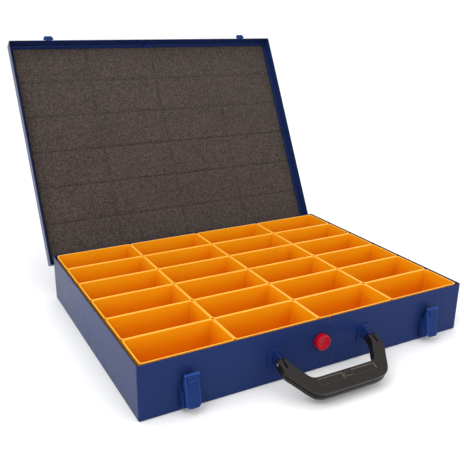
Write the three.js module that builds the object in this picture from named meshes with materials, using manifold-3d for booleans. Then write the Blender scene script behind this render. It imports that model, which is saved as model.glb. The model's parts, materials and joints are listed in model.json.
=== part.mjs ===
// Steel assortment case for sorting small parts: a shallow pan with 24 lift-out bins,
// a foam-lined lid on two rear hinges, two rocker latches, a push-button lock and a drop handle.
// Millimetres. +Z up, +X to the right when facing the latches, +Y towards the hinges.
// The origin is the centre of the pan's underside. Every piece stands where the open case holds it.

import * as THREE from "three";
import { mergeVertices } from "three/addons/utils/BufferGeometryUtils.js";
import Module from "manifold-3d";

const wasm = await Module();
wasm.setup();

// ---------------------------------------------------------------- driving sizes

// Pan
const BASE_W = 440; // outer width, X
const BASE_D = 330; // outer depth, Y
const BASE_H = 64.4; // outer height
const SHEET = 0.8; // steel sheet of pan and lid
const PAN_BEND_R = 1.6; // outside bend at the pan's vertical corners and bottom edge
const GAP = 0.3; // clearance between two pieces that would otherwise touch
const PIN_CLEARANCE = 0.25; // between a pin and its bore, on the radius

// Bins
const COLUMNS = 4;
const ROWS = 6;
const GRID_MARGIN_X = 4; // from the pan's outer face to the grid of bins
const GRID_MARGIN_Y = 3;
const BIN_WALL = 1.4;
const BIN_DRAFT = 1.6; // how much narrower each side is at the bottom than at the rim
const BIN_CORNER_R = 4;
const BIN_BOTTOM_R = 1.5;
const BIN_RIM_ABOVE_PAN = 0.1;

// Lid
const LID_GAP = 2.2; // from the pan's wall to the inside of the lid's flange
const LID_FLANGE = 19.3; // height of the flange, skin included
const LID_BEND_R = 2.4;
const LID_OPEN_DEG = 117.6; // how far the open lid stands from closed
const FOAM_T = 2.9;
const FOAM_FRONT_INSET = 6; // bare strip between front flange and foam
const FOAM_SIDE_INSET = 5.5;
const FOAM_REAR_INSET = 6;
const FOAM_GROOVE_W = 3;
const FOAM_GROOVE_T = 0.6; // dents that the bins' rims have left

// Hinges
const HINGE_X = 140; // centre of each hinge from the middle
const HINGE_BARREL_R = 2;
const HINGE_BARREL_WALL = 0.75;
const HINGE_OUT = 4.5; // axis behind the pan's rear face
const HINGE_LEAF_T = 0.8;
const KNUCKLE_PITCH = 10;
const KNUCKLES = 5; // odd: the outer ones belong to the lid leaf
const HINGE_LEAF_DOWN = 15; // base leaf below the axis
const HINGE_LEAF_UP = 14; // lid leaf above the flange rim

// Latches, in the plane of d (out from the front face) and z
const LATCH_X = 165;
const LEVER_W = 17;
const LEVER_T = 1;
const LEVER_PIN = { d: 5.5, z: 24, r: 1.5 };
const CLAW_PIN_D = 11.6; // where the claw's pin stands when latched
const CLAW_PIN_R = 0.9;
const CLAW_PIN_BELOW_RIM = 6; // below the closed lid's rim
const CLAW_BARREL_WALL = 0.55;
const CLAW_W = 10.4;
const CLAW_T = 1;
const LEVER_LOW_Z = 8;
const LEVER_REST_DEG = 9.5; // how far the released lever has rocked
const EAR_T = 1;
const EAR_CLEARANCE = 0.9; // on each side of the lever
const BRACKET_LOW_Z = 5;
const BRACKET_HIGH_Z = 31;
const KEEPER_REACH = 9; // tip of the keeper's lip from the pan's front face
const KEEPER_T = 1;
const KEEPER_LIP_W = 15.4;
const KEEPER_TIP_W = 10;
const KEEPER_LEG_W = 10.4;
const KEEPER_LEG_H = 8;

// Handle, measured from its pivot
const HANDLE_PIVOT_OUT = 16.5;
const HANDLE_PIVOT_Z = 33;
const HANDLE_T = 11;
const HANDLE_REACH = 52.5;
const HANDLE_DROOP_DEG = 23; // the stiff riveted pins hold it here
const HANDLE_EDGE = 2; // rounded edge
const HANDLE_EAR_X = 62;
const HANDLE_EAR_T = 1.6;
const HANDLE_SLOT_R = 10; // depth of the fork past the pivot
const HANDLE_ARM_IN = 56.3;
const HANDLE_ARM_OUT = 67.6;
const HANDLE_PIN_R = 2;
const HANDLE_PLATE_T = 1.2;

// Lock
const BUTTON_R = 9.4;
const BUTTON_OUT = 9; // face of the button from the pan's front face
const BUTTON_BELOW_RIM = 2; // between the button and the closed lid's rim
const BUTTON_TRAVEL = 1; // how far it can be pressed
const BUTTON_BACK = BUTTON_TRAVEL + GAP; // back of the cap from the front face
const STEM_R = 1.5;
const SPRING_R = 5.2;
const SPRING_WIRE_R = 0.5;
const SPRING_TURNS = 3;
const CATCH_W = 11.2;
const CATCH_PLATE_T = 0.8;
const SLIT_BELOW_TOP = 10.2; // lower edge of the slit that the catch's nose comes through, from the pan's top
const SLIT_H = 1.4;
const SLIT_LEFT = -2;
const SLIT_RIGHT = 13.8;
const SLIT_W = 1.3; // width of the upright slit
const LOCK_KEEPER_W = 17;
const LOCK_KEEPER_LEG = FOAM_FRONT_INSET - 2 * GAP; // ends short of the foam

// ---------------------------------------------------------------- sizes that follow

const FRONT = -BASE_D / 2; // the pan's front face
const REAR = BASE_D / 2;
const BIN_PITCH_X = (BASE_W - 2 * GRID_MARGIN_X) / COLUMNS;
const BIN_PITCH_Y = (BASE_D - 2 * GRID_MARGIN_Y) / ROWS;
const BIN_Z = SHEET + GAP;
const BIN_RIM_Z = BASE_H + BIN_RIM_ABOVE_PAN;
const BIN_H = BIN_RIM_Z - BIN_Z;
const FOAM_Z = BIN_RIM_Z + GAP; // foam's face in the closed lid
const LID_INNER_Z = FOAM_Z + FOAM_T + GAP;
const LID_TOP_Z = LID_INNER_Z + SHEET;
const LID_RIM_Z = LID_TOP_Z - LID_FLANGE;
const LID_W = BASE_W + 2 * (LID_GAP + SHEET);
const LID_D = BASE_D + 2 * (LID_GAP + SHEET);
const LID_IN_FRONT = -LID_D / 2 + SHEET; // inside of the front flange
const HINGE_Y = REAR + HINGE_OUT;
const HINGE_Z = LID_RIM_Z - HINGE_BARREL_R;
const HINGE_BORE_R = HINGE_BARREL_R - HINGE_BARREL_WALL;
const HINGE_PIN_R = HINGE_BORE_R - PIN_CLEARANCE;
const KNUCKLE_L = KNUCKLE_PITCH - GAP;
const CLAW_PIN = { d: CLAW_PIN_D, z: LID_RIM_Z - CLAW_PIN_BELOW_RIM, r: CLAW_PIN_R };
const CLAW_BARREL_R = CLAW_PIN_R + PIN_CLEARANCE + CLAW_BARREL_WALL;
const CLAW_NOSE_Z = LID_RIM_Z + 0.1; // underside of the latched claw's nose
const EAR_INNER_X = LEVER_W / 2 + EAR_CLEARANCE;
const HANDLE_BORE_R = HANDLE_PIN_R + GAP;
const BUTTON_Z = LID_RIM_Z - BUTTON_BELOW_RIM - BUTTON_R;
const SLIT_Z = BASE_H - SLIT_BELOW_TOP;

const turn = THREE.MathUtils.degToRad;

// ---------------------------------------------------------------- outlines

function arc(a, b, r, from, to, steps) {
  const points = [];
  for (let k = 0; k <= steps; k++) {
    const angle = turn(from + ((to - from) * k) / steps);
    points.push([a + r * Math.cos(angle), b + r * Math.sin(angle)]);
  }
  return points;
}

function circle(a, b, r, steps = 20) {
  return arc(a, b, r, 0, 360 - 360 / steps, steps - 1);
}

function shapeOf(outline, holes = []) {
  const shape = new THREE.Shape(outline.map(([a, b]) => new THREE.Vector2(a, b)));
  for (const hole of holes) {
    shape.holes.push(new THREE.Path(hole.map(([a, b]) => new THREE.Vector2(a, b))));
  }
  return shape;
}

// A point given as d out from the front face, and z.
const out = (d, z) => [FRONT - d, z];
const outArc = (...args) => arc(...args).map(([d, z]) => out(d, z));

// ---------------------------------------------------------------- solids

const AXES = {
  x: [new THREE.Vector3(0, 1, 0), new THREE.Vector3(0, 0, 1), new THREE.Vector3(1, 0, 0)],
  y: [new THREE.Vector3(1, 0, 0), new THREE.Vector3(0, 0, 1), new THREE.Vector3(0, -1, 0)],
  z: [new THREE.Vector3(1, 0, 0), new THREE.Vector3(0, 1, 0), new THREE.Vector3(0, 0, 1)],
};

// An outline drawn square to an axis, given depth along it. Outlines are (y, z) for x, (x, z) for y, (x, y) for z.
function prism(axis, outline, from, to, { holes = [], edge = 0, edgeSteps = 2 } = {}) {
  const geometry = new THREE.ExtrudeGeometry(shapeOf(outline, holes), {
    depth: to - from - 2 * edge,
    bevelEnabled: edge > 0,
    bevelThickness: edge,
    bevelSize: edge,
    bevelOffset: -edge,
    bevelSegments: edgeSteps,
    steps: 1,
  });
  geometry.translate(0, 0, edge);
  geometry.applyMatrix4(new THREE.Matrix4().makeBasis(...AXES[axis]));
  const along = axis === "y" ? -1 : 1;
  const start = axis === "y" ? to : from;
  return geometry.translate(...AXES[axis][2].clone().multiplyScalar(along * start).toArray());
}

function block(x0, x1, y0, y1, z0, z1) {
  return prism("z", [[x0, y0], [x1, y0], [x1, y1], [x0, y1]], z0, z1);
}

function rodX(y, z, r, x0, x1, steps = 20) {
  return prism("x", circle(y, z, r, steps), x0, x1);
}

function rodY(x, z, r, y0, y1, steps = 24) {
  return prism("y", circle(x, z, r, steps), y0, y1);
}

// A ring of points round a rectangle with rounded corners, at one height.
function ring(w, d, r, z, steps) {
  const corners = [[1, 1, 0], [-1, 1, 90], [-1, -1, 180], [1, -1, 270]];
  return corners.flatMap(([sx, sy, from]) =>
    arc(sx * (w / 2 - r), sy * (d / 2 - r), r, from, from + 90, steps).map(([x, y]) => [x, y, z]),
  );
}

// A closed skin through rings of equal count, from the first ring's cap to the last one's.
function loft(rings) {
  const count = rings[0].length;
  const positions = [];
  const face = (...corners) => corners.forEach((corner) => positions.push(...corner));
  for (let i = 0; i + 1 < rings.length; i++) {
    for (let k = 0; k < count; k++) {
      const next = (k + 1) % count;
      face(rings[i][k], rings[i][next], rings[i + 1][next]);
      face(rings[i][k], rings[i + 1][next], rings[i + 1][k]);
    }
  }
  const first = rings[0];
  const last = rings[rings.length - 1];
  for (let k = 1; k + 1 < count; k++) {
    face(first[0], first[k + 1], first[k]);
    face(last[0], last[k], last[k + 1]);
  }
  const geometry = new THREE.BufferGeometry();
  geometry.setAttribute("position", new THREE.Float32BufferAttribute(positions, 3));
  return geometry;
}

// An open-topped tub that stands on z = 0.
function tub({ w, d, h, wall, cornerR, bottomR, draft = 0, steps = 3 }) {
  const at = (inset, z, r) => ring(w - 2 * inset, d - 2 * inset, r, z, steps);
  const innerR = Math.max(cornerR - wall, 0.4);
  const deep = Math.max(bottomR - wall, 0.3);
  const lean = (z) => draft * (1 - z / h);
  const bend = 1 - Math.SQRT1_2;
  return loft([
    at(lean(0) + bottomR, 0, cornerR),
    at(lean(0) + bottomR * bend, bottomR * bend, cornerR),
    at(lean(bottomR), bottomR, cornerR),
    at(0, h, cornerR),
    at(wall, h, innerR),
    at(lean(wall + deep) + wall, wall + deep, innerR),
    at(lean(wall) + wall + deep, wall, innerR),
  ]);
}

function solidOf(geometry) {
  const bare = geometry.clone();
  bare.deleteAttribute("normal");
  bare.deleteAttribute("uv");
  const welded = mergeVertices(bare, 1e-4);
  return new wasm.Manifold(
    new wasm.Mesh({
      numProp: 3,
      vertProperties: new Float32Array(welded.attributes.position.array),
      triVerts: new Uint32Array(welded.index.array),
    }),
  );
}

function geometryOf(solid) {
  const mesh = solid.getMesh();
  const indexed = new THREE.BufferGeometry();
  indexed.setAttribute("position", new THREE.Float32BufferAttribute(mesh.vertProperties, 3));
  indexed.setIndex(Array.from(mesh.triVerts));
  return indexed.toNonIndexed();
}

function join(...geometries) {
  return geometryOf(geometries.map(solidOf).reduce((whole, next) => whole.add(next)));
}

function cut(geometry, ...tools) {
  return geometryOf(tools.map(solidOf).reduce((whole, next) => whole.subtract(next), solidOf(geometry)));
}

// Turn a geometry about an axis through (y, z) that runs along +X.
function swing(geometry, y, z, degrees) {
  return geometry.translate(0, -y, -z).rotateX(turn(degrees)).translate(0, y, z);
}

// ---------------------------------------------------------------- materials

const paint = { color: 0x2a3566, roughness: 0.32, metalness: 0.1 };
const fittingPaint = { color: 0x2c3f8c, roughness: 0.3, metalness: 0.1 };
const materials = {
  case_paint: paint,
  fitting_paint: fittingPaint,
  bin_plastic: { color: 0xee8a05, roughness: 0.42, metalness: 0 },
  foam: { color: 0x4a423f, roughness: 0.95, metalness: 0 },
  black_plastic: { color: 0x2a2827, roughness: 0.42, metalness: 0 },
  red_plastic: { color: 0xc41230, roughness: 0.3, metalness: 0 },
  zinc: { color: 0xb9bcc0, roughness: 0.32, metalness: 0.9 },
  spring_steel: { color: 0x9a9da2, roughness: 0.35, metalness: 0.9 },
};
for (const [name, settings] of Object.entries(materials)) {
  materials[name] = new THREE.MeshStandardMaterial(settings);
  materials[name].name = name;
}

const assembly = new THREE.Group();
assembly.name = "parts_sorting_case";

function add(name, geometry, material) {
  geometry.deleteAttribute("normal");
  geometry.computeVertexNormals();
  const mesh = new THREE.Mesh(geometry, materials[material]);
  mesh.name = name;
  assembly.add(mesh);
}

// ---------------------------------------------------------------- pan

function baseShell() {
  const pan = tub({ w: BASE_W, d: BASE_D, h: BASE_H, wall: SHEET, cornerR: PAN_BEND_R, bottomR: PAN_BEND_R });
  const through = [FRONT - 1, FRONT + SHEET + 1];
  const levelSlit = block(SLIT_LEFT, SLIT_RIGHT, ...through, SLIT_Z, SLIT_Z + SLIT_H);
  const uprightSlit = block(SLIT_RIGHT - SLIT_W, SLIT_RIGHT, ...through, SLIT_Z, BASE_H + 1);
  return cut(pan, levelSlit, uprightSlit, rodY(0, BUTTON_Z, STEM_R + GAP, ...through));
}
add("base_shell", baseShell(), "case_paint");

// ---------------------------------------------------------------- bins

for (let row = 0; row < ROWS; row++) {
  for (let column = 0; column < COLUMNS; column++) {
    const bin = tub({
      w: BIN_PITCH_X - GAP,
      d: BIN_PITCH_Y - GAP,
      h: BIN_H,
      wall: BIN_WALL,
      cornerR: BIN_CORNER_R,
      bottomR: BIN_BOTTOM_R,
      draft: BIN_DRAFT,
    });
    bin.translate(
      (column - (COLUMNS - 1) / 2) * BIN_PITCH_X,
      (row - (ROWS - 1) / 2) * BIN_PITCH_Y,
      BIN_Z,
    );
    add(`insert_bin_r${row + 1}c${column + 1}`, bin, "bin_plastic");
  }
}

// ---------------------------------------------------------------- lid, drawn closed and swung open

const openLid = (geometry) => swing(geometry, HINGE_Y, HINGE_Z, -LID_OPEN_DEG);

function lidShell() {
  const shell = tub({ w: LID_W, d: LID_D, h: LID_FLANGE, wall: SHEET, cornerR: LID_BEND_R, bottomR: LID_BEND_R });
  return shell.rotateX(Math.PI).translate(0, 0, LID_TOP_Z);
}
add("lid_shell", openLid(lidShell()), "case_paint");

function lidFoam() {
  const halfW = LID_W / 2 - SHEET - FOAM_SIDE_INSET;
  const front = LID_IN_FRONT + FOAM_FRONT_INSET;
  const rear = -LID_IN_FRONT - FOAM_REAR_INSET;
  const low = FOAM_Z - 1; // the dents are cut from below the foam's face
  const dent = (at) => [
    [at - (FOAM_GROOVE_W / 2) * (1 + 1 / FOAM_GROOVE_T), low],
    [at + (FOAM_GROOVE_W / 2) * (1 + 1 / FOAM_GROOVE_T), low],
    [at, FOAM_Z + FOAM_GROOVE_T],
  ];
  const dents = [];
  for (let row = 1; row < ROWS; row++) {
    dents.push(prism("x", dent((row - ROWS / 2) * BIN_PITCH_Y), -halfW - 1, halfW + 1));
  }
  for (let column = 1; column < COLUMNS; column++) {
    dents.push(prism("y", dent((column - COLUMNS / 2) * BIN_PITCH_X), front - 1, rear + 1));
  }
  return cut(block(-halfW, halfW, front, rear, FOAM_Z, FOAM_Z + FOAM_T), ...dents);
}
add("lid_foam", openLid(lidFoam()), "foam");

// A clip under the front flange's rim, with a lip for the claw to pull on.
function lidKeeper(x) {
  const top = LID_RIM_Z - GAP;
  const legFront = LID_IN_FRONT + GAP;
  const legBack = legFront + SHEET;
  const lipRoot = FRONT - LID_GAP - SHEET; // the flange's outer face
  const tip = FRONT - KEEPER_REACH;
  const plate = [
    [x - KEEPER_LEG_W / 2, legBack],
    [x - KEEPER_LEG_W / 2, lipRoot],
    [x - KEEPER_LIP_W / 2, lipRoot - 0.6],
    [x - KEEPER_LIP_W / 2, lipRoot - 1.6],
    [x - KEEPER_TIP_W / 2 - 0.8, tip + 0.7],
    [x - KEEPER_TIP_W / 2 + 0.4, tip],
    [x + KEEPER_TIP_W / 2 - 0.4, tip],
    [x + KEEPER_TIP_W / 2 + 0.8, tip + 0.7],
    [x + KEEPER_LIP_W / 2, lipRoot - 1.6],
    [x + KEEPER_LIP_W / 2, lipRoot - 0.6],
    [x + KEEPER_LEG_W / 2, lipRoot],
    [x + KEEPER_LEG_W / 2, legBack],
  ];
  return join(
    prism("z", plate, top - KEEPER_T, top),
    block(x - KEEPER_LEG_W / 2, x + KEEPER_LEG_W / 2, legFront, legBack, top - KEEPER_T, top + KEEPER_LEG_H),
  );
}

// The bracket inside the lid that the lock's nose catches under.
function lockKeeper() {
  const top = LID_INNER_Z - GAP;
  const front = LID_IN_FRONT + GAP;
  const low = SLIT_Z + SLIT_H + GAP;
  const t = SHEET;
  const bend = LID_BEND_R - SHEET; // clears the bend between the lid's skin and flange
  const profile = [
    [front, low],
    [front + t, low],
    [front + t, top - t - bend],
    [front + t + bend, top - t],
    [front + LOCK_KEEPER_LEG, top - t],
    [front + LOCK_KEEPER_LEG, top],
    [front + bend, top],
    [front, top - bend],
  ];
  return prism("x", profile, -LOCK_KEEPER_W / 2, LOCK_KEEPER_W / 2);
}
add("lock_keeper", openLid(lockKeeper()), "fitting_paint");

// ---------------------------------------------------------------- hinges

const knuckleFrom = (index) => (index - KNUCKLES / 2) * KNUCKLE_PITCH + (KNUCKLE_PITCH - KNUCKLE_L) / 2;
const HINGE_HALF = (KNUCKLES * KNUCKLE_PITCH) / 2 - (KNUCKLE_PITCH - KNUCKLE_L) / 2;
const bore = (x) => rodX(HINGE_Y, HINGE_Z, HINGE_BORE_R, x - HINGE_HALF - 1, x + HINGE_HALF + 1, 16);
const barrel = (x0, x1) => rodX(HINGE_Y, HINGE_Z, HINGE_BARREL_R, x0, x1, 20);

function hingeBaseLeaf(x) {
  const wallSide = REAR + GAP;
  const face = wallSide + HINGE_LEAF_T;
  const plate = block(
    x - HINGE_HALF, x + HINGE_HALF,
    wallSide, face,
    HINGE_Z - HINGE_LEAF_DOWN, HINGE_Z + HINGE_BARREL_R,
  );
  const pieces = [plate];
  for (let k = 1; k < KNUCKLES; k += 2) {
    const x0 = x + knuckleFrom(k);
    const x1 = x0 + KNUCKLE_L;
    pieces.push(barrel(x0, x1));
    pieces.push(
      block(x0, x1, face - HINGE_LEAF_T / 2, HINGE_Y, HINGE_Z - HINGE_BARREL_R, HINGE_Z - HINGE_BARREL_R + HINGE_LEAF_T),
    );
  }
  return cut(join(...pieces), bore(x));
}

// The lid leaf's knuckles carry a heel that meets the base leaf when the lid is fully open.
function hingeLidLeaf(x) {
  const wallSide = LID_D / 2 + GAP;
  const face = wallSide + HINGE_LEAF_T;
  const heelReach = HINGE_OUT - HINGE_LEAF_T - 2 * GAP;
  const pieces = [
    block(x - HINGE_HALF, x + HINGE_HALF, wallSide, face, LID_RIM_Z + GAP, LID_RIM_Z + HINGE_LEAF_UP),
  ];
  for (let k = 0; k < KNUCKLES; k += 2) {
    const x0 = x + knuckleFrom(k);
    const x1 = x0 + KNUCKLE_L;
    pieces.push(barrel(x0, x1));
    pieces.push(block(x0, x1, wallSide, face, HINGE_Z + 0.5, LID_RIM_Z + 1));
    const heel = block(x0, x1, HINGE_Y - heelReach, HINGE_Y, HINGE_Z - 0.6, HINGE_Z + 0.6);
    pieces.push(swing(heel, HINGE_Y, HINGE_Z, LID_OPEN_DEG));
  }
  return cut(join(...pieces), bore(x));
}

for (const [side, x] of [["left", -HINGE_X], ["right", HINGE_X]]) {
  add(`hinge_base_leaf_${side}`, hingeBaseLeaf(x), "fitting_paint");
  add(`hinge_lid_leaf_${side}`, openLid(hingeLidLeaf(x)), "fitting_paint");
  add(`hinge_pin_${side}`, rodX(HINGE_Y, HINGE_Z, HINGE_PIN_R, x - HINGE_HALF - 0.6, x + HINGE_HALF + 0.6, 16), "zinc");
}

// ---------------------------------------------------------------- latches

function latchBracket(x) {
  const { d, z, r } = LEVER_PIN;
  const low = BRACKET_LOW_Z;
  const high = BRACKET_HIGH_Z;
  const ear = [
    out(GAP, low),
    out(d + 0.1, low),
    out(d + 2.9, low + 3),
    ...outArc(d, z, 3.6, -10, 110, 7),
    out(GAP, high),
  ];
  const hole = circle(...out(d, z), r + PIN_CLEARANCE);
  const outer = EAR_INNER_X + EAR_T;
  return join(
    block(x - outer, x + outer, FRONT - GAP - EAR_T, FRONT - GAP, low, high),
    prism("x", ear, x - outer, x - EAR_INNER_X, { holes: [hole] }),
    prism("x", ear, x + EAR_INNER_X, x + outer, { holes: [hole] }),
  );
}

// Lever and claw are drawn latched, then rocked to where the open case leaves them.
const restLever = (geometry) => swing(geometry, ...out(LEVER_PIN.d, LEVER_PIN.z), -LEVER_REST_DEG);

function latchLever(x) {
  const half = LEVER_W / 2;
  const inner = CLAW_PIN.d - 0.3; // inner face of the front plate
  const face = inner + LEVER_T;
  const plateTop = CLAW_PIN.z - CLAW_BARREL_R - GAP;
  const plate = [
    out(inner, plateTop),
    out(inner, LEVER_LOW_Z + 6),
    out(inner + 0.9, LEVER_LOW_Z),
    out(face + 0.9, LEVER_LOW_Z + 0.1),
    out(face, LEVER_LOW_Z + 6),
    out(face, plateTop),
  ];
  const cheek = [
    out(face, LEVER_LOW_Z + 7),
    out(inner - 2.5, LEVER_LOW_Z + 7),
    ...outArc(LEVER_PIN.d, LEVER_PIN.z, 3, 250, 140, 7),
    ...outArc(CLAW_PIN.d, CLAW_PIN.z, CLAW_BARREL_R, 170, 0, 8),
  ];
  const holes = [
    circle(...out(LEVER_PIN.d, LEVER_PIN.z), LEVER_PIN.r + PIN_CLEARANCE),
    circle(...out(CLAW_PIN.d, CLAW_PIN.z), CLAW_PIN.r + PIN_CLEARANCE, 14),
  ];
  const pieces = [prism("x", plate, x - half, x + half)];
  for (const s of [-1, 1]) {
    const outside = x + s * half;
    const inside = outside - s * LEVER_T;
    pieces.push(prism("x", cheek, Math.min(outside, inside), Math.max(outside, inside), { holes }));
    const knuckle = x + s * (CLAW_W / 2 + GAP);
    const ends = [Math.min(outside, knuckle), Math.max(outside, knuckle)];
    pieces.push(
      prism("x", circle(...out(CLAW_PIN.d, CLAW_PIN.z), CLAW_BARREL_R, 16), ...ends, { holes: [holes[1]] }),
    );
    pieces.push(block(...ends, FRONT - face, FRONT - inner, plateTop - 1, plateTop + 0.9));
  }
  return join(...pieces);
}

function latchClaw(x) {
  const half = CLAW_W / 2;
  const { d, z } = CLAW_PIN;
  const outer = d - 1.2;
  const inner = outer - CLAW_T;
  const nose = d - 4;
  const top = CLAW_NOSE_Z + CLAW_T;
  const profile = [
    out(outer, z + 0.4),
    out(outer, top - 0.4),
    out(outer - 0.4, top),
    out(nose, top),
    out(nose, CLAW_NOSE_Z),
    out(inner, CLAW_NOSE_Z),
    out(inner, z + 0.4),
    out(inner + 0.6, z - 0.6),
    out(outer, z - 0.6),
  ];
  const whole = join(
    prism("x", profile, x - half, x + half),
    prism("x", circle(...out(d, z), CLAW_BARREL_R, 16), x - half, x + half),
  );
  const hung = cut(whole, rodX(...out(d, z), CLAW_PIN.r + PIN_CLEARANCE, x - half - 1, x + half + 1, 14));
  return swing(hung, ...out(d, z), 180);
}

for (const [side, x] of [["left", -LATCH_X], ["right", LATCH_X]]) {
  const earOut = EAR_INNER_X + EAR_T;
  const [leverY, leverZ] = out(LEVER_PIN.d, LEVER_PIN.z);
  const [clawY, clawZ] = out(CLAW_PIN.d, CLAW_PIN.z);
  add(`lid_keeper_${side}`, openLid(lidKeeper(x)), "fitting_paint");
  add(`latch_bracket_${side}`, latchBracket(x), "fitting_paint");
  add(`latch_lever_${side}`, restLever(latchLever(x)), "fitting_paint");
  add(`latch_claw_${side}`, restLever(latchClaw(x)), "fitting_paint");
  const heads = [-1, 1].map((s) => {
    const near = x + s * (earOut + GAP);
    const far = x + s * (earOut + GAP + 0.7);
    return rodX(leverY, leverZ, LEVER_PIN.r + 0.8, Math.min(near, far), Math.max(near, far), 16);
  });
  const shaft = rodX(leverY, leverZ, LEVER_PIN.r, x - earOut - GAP - 0.4, x + earOut + GAP + 0.4, 16);
  add(`lever_pin_${side}`, join(shaft, ...heads), "fitting_paint");
  const clawPin = rodX(clawY, clawZ, CLAW_PIN.r, x - LEVER_W / 2 - 0.4, x + LEVER_W / 2 + 0.4, 12);
  add(`claw_pin_${side}`, restLever(clawPin), "fitting_paint");
}

// ---------------------------------------------------------------- lock

function lockButton() {
  // Radius and distance out from the front face, round the button's axis.
  const profile = [
    [STEM_R + GAP, BUTTON_BACK],
    [3.2, BUTTON_BACK],
    [3.2, BUTTON_OUT - 3],
    [BUTTON_R - 1.8, BUTTON_OUT - 3],
    [BUTTON_R - 1.8, BUTTON_BACK],
    [BUTTON_R, BUTTON_BACK],
    [BUTTON_R, BUTTON_OUT - 1.4],
    [BUTTON_R - 0.5, BUTTON_OUT - 0.4],
    [BUTTON_R - 1.5, BUTTON_OUT],
    [BUTTON_R - 2.4, BUTTON_OUT - 0.3],
    [BUTTON_R - 4, BUTTON_OUT - 1.3],
    [0, BUTTON_OUT - 1.9],
    [0, BUTTON_OUT - 3],
    [STEM_R + GAP, BUTTON_OUT - 3],
  ];
  const points = [...profile, profile[0]].map(([r, d]) => new THREE.Vector2(r, d));
  const cap = new THREE.LatheGeometry(points, 32);
  return geometryOf(solidOf(cap.rotateX(Math.PI).translate(0, FRONT, BUTTON_Z)));
}

function lockSpring() {
  const from = GAP + SPRING_WIRE_R;
  const length = BUTTON_OUT - 3 - GAP - SPRING_WIRE_R - from;
  const turns = SPRING_TURNS;
  class Coil extends THREE.Curve {
    getPoint(t, target = new THREE.Vector3()) {
      const angle = 2 * Math.PI * turns * t;
      return target.set(
        SPRING_R * Math.cos(angle),
        FRONT - from - length * t,
        BUTTON_Z + SPRING_R * Math.sin(angle),
      );
    }
  }
  return new THREE.ExtrudeGeometry(shapeOf(circle(0, 0, SPRING_WIRE_R, 6)), {
    steps: 14 * turns,
    bevelEnabled: false,
    extrudePath: new Coil(),
  });
}

// A plate behind the front wall, on the button's stem, with a nose that comes out through the slit.
function lockCatch() {
  const wallBack = FRONT + SHEET;
  const front = wallBack + GAP;
  const back = front + CATCH_PLATE_T;
  const noseTop = SLIT_Z + SLIT_H - GAP;
  const noseLow = noseTop - CATCH_PLATE_T;
  const keeperFace = LID_IN_FRONT + GAP + SHEET;
  const left = SLIT_LEFT + GAP + 0.5;
  return join(
    block(left - 3, left + CATCH_W, front, back, BUTTON_Z - 4, noseTop),
    block(left, left + CATCH_W, keeperFace + GAP, back, noseLow, noseTop),
    rodY(0, BUTTON_Z, STEM_R, FRONT - (BUTTON_OUT - 3 - GAP), back, 16),
  );
}
add("lock_button", lockButton(), "red_plastic");
add("lock_spring", lockSpring(), "spring_steel");
add("lock_catch", lockCatch(), "fitting_paint");

// ---------------------------------------------------------------- handle

const [PIVOT_Y, PIVOT_Z] = out(HANDLE_PIVOT_OUT, HANDLE_PIVOT_Z);

function handle() {
  // Half outline: x from the middle and distance out from the pivot.
  const half = [
    [HANDLE_ARM_OUT, 0],
    [HANDLE_ARM_OUT, 14],
    [HANDLE_ARM_OUT - 2, 19.5],
    [HANDLE_ARM_OUT - 6, 25.5],
    [57.5, 33],
    [54.2, 39],
    [50.5, 45],
    [46, HANDLE_REACH - 3],
    [39.5, HANDLE_REACH - 0.7],
    [34, HANDLE_REACH],
  ];
  const inside = [
    [35, 31],
    [40.5, 30],
    [44.5, 26.5],
    [48, 20],
    [HANDLE_ARM_IN - 4.8, 14],
    [HANDLE_ARM_IN - 1.8, 9.5],
    [HANDLE_ARM_IN, 4.5],
    [HANDLE_ARM_IN, 0],
  ];
  const right = [...half, ...half.map(([x, r]) => [-x, r]).reverse()];
  const left = [...inside.map(([x, r]) => [-x, r]).reverse(), ...inside];
  // Drawn with the handle straight out from the wall.
  const outline = [...right, ...left].map(([x, r]) => [x, PIVOT_Y - r]);
  let body = prism("z", outline, PIVOT_Z - HANDLE_T / 2, PIVOT_Z + HANDLE_T / 2, { edge: HANDLE_EDGE });
  body = cut(body, block(-80, 80, PIVOT_Y, PIVOT_Y + 20, 0, 80));
  const tools = [];
  for (const s of [-1, 1]) {
    const arm = [s * HANDLE_ARM_IN, s * HANDLE_ARM_OUT].sort((a, b) => a - b);
    body = join(body, rodX(PIVOT_Y, PIVOT_Z, HANDLE_T / 2, ...arm, 20));
    const slot = HANDLE_EAR_T / 2 + GAP;
    const slotX = s * HANDLE_EAR_X;
    tools.push(block(slotX - slot, slotX + slot, PIVOT_Y - HANDLE_SLOT_R, PIVOT_Y + 20, 0, 80));
    tools.push(rodX(PIVOT_Y, PIVOT_Z, HANDLE_BORE_R, arm[0] - 2, arm[1] + 2, 18));
  }
  return swing(cut(body, ...tools), PIVOT_Y, PIVOT_Z, HANDLE_DROOP_DEG);
}
add("handle", handle(), "black_plastic");

function handleBracket(x) {
  const t = HANDLE_EAR_T / 2;
  const ear = [
    out(GAP, HANDLE_PIVOT_Z - 9),
    ...outArc(HANDLE_PIVOT_OUT, HANDLE_PIVOT_Z, 4.4, -75, 75, 8),
    out(GAP, HANDLE_PIVOT_Z + 9),
  ];
  const hole = circle(PIVOT_Y, PIVOT_Z, HANDLE_BORE_R, 18);
  const low = HANDLE_PIVOT_Z - 11;
  const high = HANDLE_PIVOT_Z + 11;
  return join(
    block(x - 8, x + 8, FRONT - GAP - HANDLE_PLATE_T, FRONT - GAP, low, high),
    prism("x", ear, x - t, x + t, { holes: [hole] }),
  );
}

for (const [side, s] of [["left", -1], ["right", 1]]) {
  const ends = [s * (HANDLE_ARM_IN + 0.5), s * (HANDLE_ARM_OUT + 0.6)].sort((a, b) => a - b);
  add(`handle_bracket_${side}`, handleBracket(s * HANDLE_EAR_X), "fitting_paint");
  add(`handle_pin_${side}`, rodX(PIVOT_Y, PIVOT_Z, HANDLE_PIN_R, ...ends, 18), "zinc");
}

export default assembly;
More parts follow.
